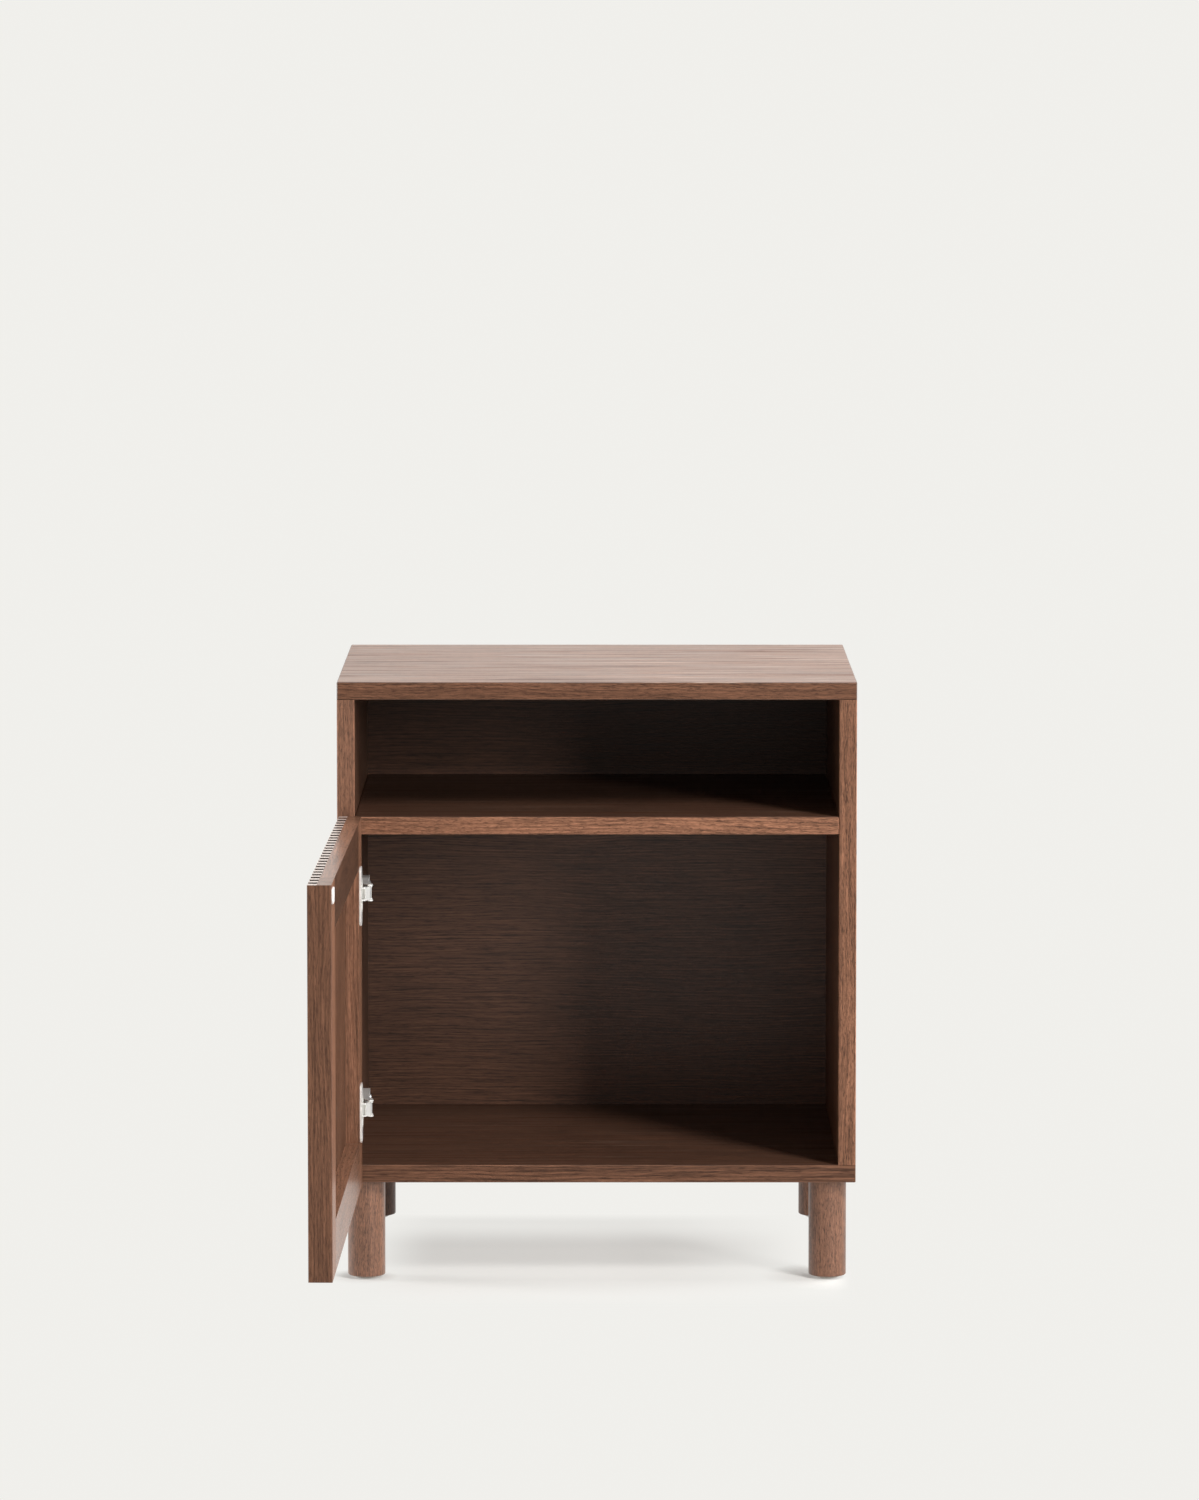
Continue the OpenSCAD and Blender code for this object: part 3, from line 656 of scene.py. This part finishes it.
class NIGHTSTAND_OT_door(bpy.types.Operator):
    """Veneer the door's frame and its upright slats, and set its pad"""

    bl_idname = "nightstand.door"
    bl_label = "Door"

    def execute(self, context):
        # Painted light and shade on the door: lit_edge is a painted lit front side, gap_shade near-black
        # painted shade in the slats' gaps, and the frame's upper sides and the top rail's inner side have
        # their own painted tones
        lit_edge, gap_shade = (0.46, 0.12), (0.06, 0.0)
        dress("hinge_stile", veneer(
            "veneer_hinge_stile", "Z", 12.1, tone=0.66, coat=0.4, faces={"+Z": (0.55, 0.9)},
            arris=0.95, rough=DOOR_SHEEN))
        dress("free_stile", veneer(
            "veneer_free_stile", "Z", 13.6, tone=0.66, coat=0.4, faces={"-Y": lit_edge, "+Z": (0.58, 0.86)},
            arris=0.4, figure=0.9, bands=0.2, rough=DOOR_SHEEN))
        dress("bottom_rail", veneer(
            "veneer_bottom_rail", "Y", 14.3, tone=0.54, coat=0.68,
            arris=0.9, banded=False, rough=DOOR_SHEEN))
        dress("top_rail", veneer(
            "veneer_top_rail", "Y", 15.2, tone=0.62, coat=0.3, faces={"+X": (0.20, 0.12), "+Z": (0.7, 0.9)},
            arris=0.7, banded=False, rough=DOOR_SHEEN))
        for index, slat in enumerate(SLATS):
            # Slats have near-black painted shade on their sides in the gaps, but the first and the last a
            # painted lit front side, and all of them a pale painted highlight on top
            front = lit_edge if index in (0, len(SLATS) - 1) else gap_shade
            dress(slat, veneer(
                "stained_" + slat, "Z", 16.0 + 1.7 * index, tone=0.64, coat=0.4,
                faces={"-Y": front, "+Y": gap_shade, "+Z": (1.4, 1.0)},
                banded=False, heart=NARROW_HEART, bands=0.2, rough=DOOR_SHEEN, end_glare=0.6))
        pad = strike_pad("strike_pad_face")
        pad.data.materials.append(moulded("strike_pad_plastic", (0.74, 0.71, 0.69), 0.35))
        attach(pad, "door")
        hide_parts("strike_pad")
        return {"FINISHED"}


class NIGHTSTAND_OT_hinges(bpy.types.Operator):
    """Plate the two concealed hinges with nickel and their screws and pins with zinc"""

    bl_idname = "nightstand.hinges"
    bl_label = "Hinges"

    def execute(self, context):
        nickel = plated("nickel_plating", (0.94, 0.93, 0.90), 0.36, metal=0.55)
        zinc = plated("zinc_plating", (0.74, 0.75, 0.76), 0.30, metal=0.8)
        for hinge in HINGES:
            for part in ("hinge_cup_", "hinge_arm_", "mounting_plate_", "outer_link_", "inner_link_"):
                dress(part + hinge, nickel)
        for part in ("arm_pins", "cup_pins"):
            dress(part, zinc)
        for node, body, toward, sunk in (("cup_screws", "door", DOOR_INWARD, True),
                                         ("arm_screws", "carcass", INTO_CABINET, False),
                                         ("plate_screws", "carcass", INTO_CABINET, False)):
            screws = cross_screws(node + "_crossed", node, toward, sunk)
            screws.data.materials.append(zinc)
            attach(screws, body)
            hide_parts(node)
        return {"FINISHED"}


def shading_near(paper, x, y):
    """Where the paper shows its own shading, by places in millimetres."""
    # It lies under the cabinet, comes in at the left feet and thins out to the right
    near = paper.ramp(x, -260.0, -165.0) * (1.0 - paper.ramp(x, 40.0, 210.0) * 0.75)
    for leg, reach in (("leg_front_left", 46.0), ("leg_front_right", 95.0)):
        low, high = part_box(leg)
        aside, ahead = x - (low.x + high.x) / 2 * MM, y - (low.y + high.y) / 2 * MM
        foot = (aside * aside + ahead * ahead).root()
        near = near.at_least((1.0 - paper.ramp(foot, 14.0, reach)) * 1.5)
    # It ends at the right side, thins out to the back and ends there, and fades out to the front
    near = near * (1.0 - paper.ramp(x, 235.0, 262.0)) * (1.0 - paper.ramp(y, -10.0, 120.0) * 0.7)
    return near * (1.0 - paper.ramp(y, 130.0, 190.0)) * paper.ramp(y, -330.0, -200.0)


def studio_paper(backdrop, shadow):
    """Paper that looks evenly lit but for its shading near the cabinet."""
    paper = Shader("studio_paper")
    x, y, z = paper.place()
    near = shading_near(paper, x, y)
    mottle = paper.noise(x * 0.002, y * 0.002, z)
    tint = paper.blend(mottle, shade_of(backdrop, 0.995), backdrop)
    matt = paper.node("ShaderNodeBsdfDiffuse", sockets={"Color": tint})
    glow = paper.node("ShaderNodeEmission", sockets={"Color": (*backdrop, 1.0), "Strength": 1.0})
    seen = paper.node("ShaderNodeLightPath", out="Is Camera Ray")
    shine = paper.node("ShaderNodeLightPath", out="Is Glossy Ray")
    plain = seen * (1.0 - near * shadow) + shine
    both = paper.node("ShaderNodeMixShader", sockets={0: plain, 1: matt, 2: glow})
    paper.node("ShaderNodeOutputMaterial", sockets={"Surface": both})
    paper.material.cycles.emission_sampling = "NONE"
    return paper.material


def studio_air(backdrop, fill):
    """World that shows the backdrop's colour and gives a faint cool light."""
    air = Shader("studio", world=True)
    seen = air.node("ShaderNodeLightPath", out="Is Camera Ray")
    shine = air.node("ShaderNodeLightPath", out="Is Glossy Ray")
    dim = air.node("ShaderNodeBackground", sockets={"Color": (0.93, 0.96, 1.0, 1.0), "Strength": fill})
    plain = air.node("ShaderNodeBackground", sockets={"Color": (*backdrop, 1.0), "Strength": 1.0})
    both = air.node("ShaderNodeMixShader", sockets={0: seen.at_least(shine), 1: dim, 2: plain})
    air.node("ShaderNodeOutputWorld", sockets={"Surface": both})
    air.material.cycles.sampling_method = "NONE"
    return air.material


def lay_floor(scene, paper):
    """A floor of paper that reaches past the camera's view on all sides."""
    shape = bmesh.new()
    bmesh.ops.create_grid(shape, x_segments=1, y_segments=1, size=30.0)
    mesh = bpy.data.meshes.new("floor")
    shape.to_mesh(mesh)
    shape.free()
    floor = bpy.data.objects.new("floor", mesh)
    scene.collection.objects.link(floor)
    mesh.materials.append(paper)


def hang_lamp(scene, name, place, size, power):
    """A rectangular lamp that points at the middle of the cabinet."""
    data = bpy.data.lights.new(name, "AREA")
    data.shape = "RECTANGLE"
    data.size, data.size_y = size
    data.energy = power
    lamp = bpy.data.objects.new(name, data)
    scene.collection.objects.link(lamp)
    lamp.location = place
    lamp.rotation_euler = (MIDDLE - lamp.location).to_track_quat("-Z", "Y").to_euler()


def set_camera(scene):
    """The photograph's own view."""
    data = bpy.data.cameras.new("camera")
    camera = bpy.data.objects.new("camera", data)
    scene.collection.objects.link(camera)
    camera.location = CAMERA_PLACE
    camera.rotation_euler = (math.pi / 2 - CAMERA_PITCH, 0.0, 0.0)
    data.sensor_width = 36.0
    data.lens = FOCAL_LENGTH * data.sensor_width / IMAGE_HEIGHT
    data.shift_y = VERTICAL_SHIFT / IMAGE_HEIGHT
    data.clip_end = 100.0
    scene.camera = camera


class NIGHTSTAND_OT_stage(bpy.types.Operator):
    """Build the pale floor, the background, the lamps and the camera"""

    bl_idname = "nightstand.stage"
    bl_label = "Stage"

    def execute(self, context):
        scene = context.scene
        studio = scene.nightstand_studio
        backdrop = rgb(studio.backdrop)
        lay_floor(scene, studio_paper(backdrop, studio.shadow))
        scene.world = studio_air(backdrop, studio.fill)
        hang_lamp(scene, "key", MIDDLE + KEY_SIDE * KEY_DISTANCE, (0.5, 0.8), studio.key_power)
        hang_lamp(scene, "front_high", (2.0, -2.2, 2.4), (0.8, 0.8), studio.front_power)
        hang_lamp(scene, "top_soft", (1.1, 0.3, 2.6), (1.4, 1.4), studio.top_power)
        hang_lamp(scene, "side_right", (3.4, 0.4, 0.8), (1.0, 1.0), studio.side_power * 0.25)
        hang_lamp(scene, "side_left", (-3.4, 0.6, 0.8), (1.0, 1.0), studio.side_power)
        set_camera(scene)
        scene.view_settings.view_transform = "Standard"
        return {"FINISHED"}


class NIGHTSTAND_PT_panel(bpy.types.Panel):
    """Sidebar panel that lists the nightstand's steps and settings"""

    bl_label = "Nightstand"
    bl_idname = "NIGHTSTAND_PT_panel"
    bl_space_type = "VIEW_3D"
    bl_region_type = "UI"
    bl_category = "Nightstand"

    def draw(self, context):
        layout = self.layout
        for group in (context.scene.nightstand_stain, context.scene.nightstand_studio):
            box = layout.box()
            for name in group.bl_rna.properties.keys():
                if name not in ("rna_type", "name"):
                    box.prop(group, name)
        for operator in OPERATORS:
            layout.operator(operator.bl_idname)


SETTINGS = (StainSettings, StudioSettings)
OPERATORS = (
    NIGHTSTAND_OT_boards,
    NIGHTSTAND_OT_legs,
    NIGHTSTAND_OT_door,
    NIGHTSTAND_OT_hinges,
    NIGHTSTAND_OT_stage,
)
CLASSES = SETTINGS + OPERATORS + (NIGHTSTAND_PT_panel,)


def register():
    for cls in CLASSES:
        bpy.utils.register_class(cls)
    bpy.types.Scene.nightstand_stain = bpy.props.PointerProperty(type=StainSettings)
    bpy.types.Scene.nightstand_studio = bpy.props.PointerProperty(type=StudioSettings)


def unregister():
    del bpy.types.Scene.nightstand_studio
    del bpy.types.Scene.nightstand_stain
    for cls in reversed(CLASSES):
        bpy.utils.unregister_class(cls)


def main():
    register()
    for operator in OPERATORS:
        group, name = operator.bl_idname.split(".")
        getattr(getattr(bpy.ops, group), name)()


if __name__ == "__main__":
    main()
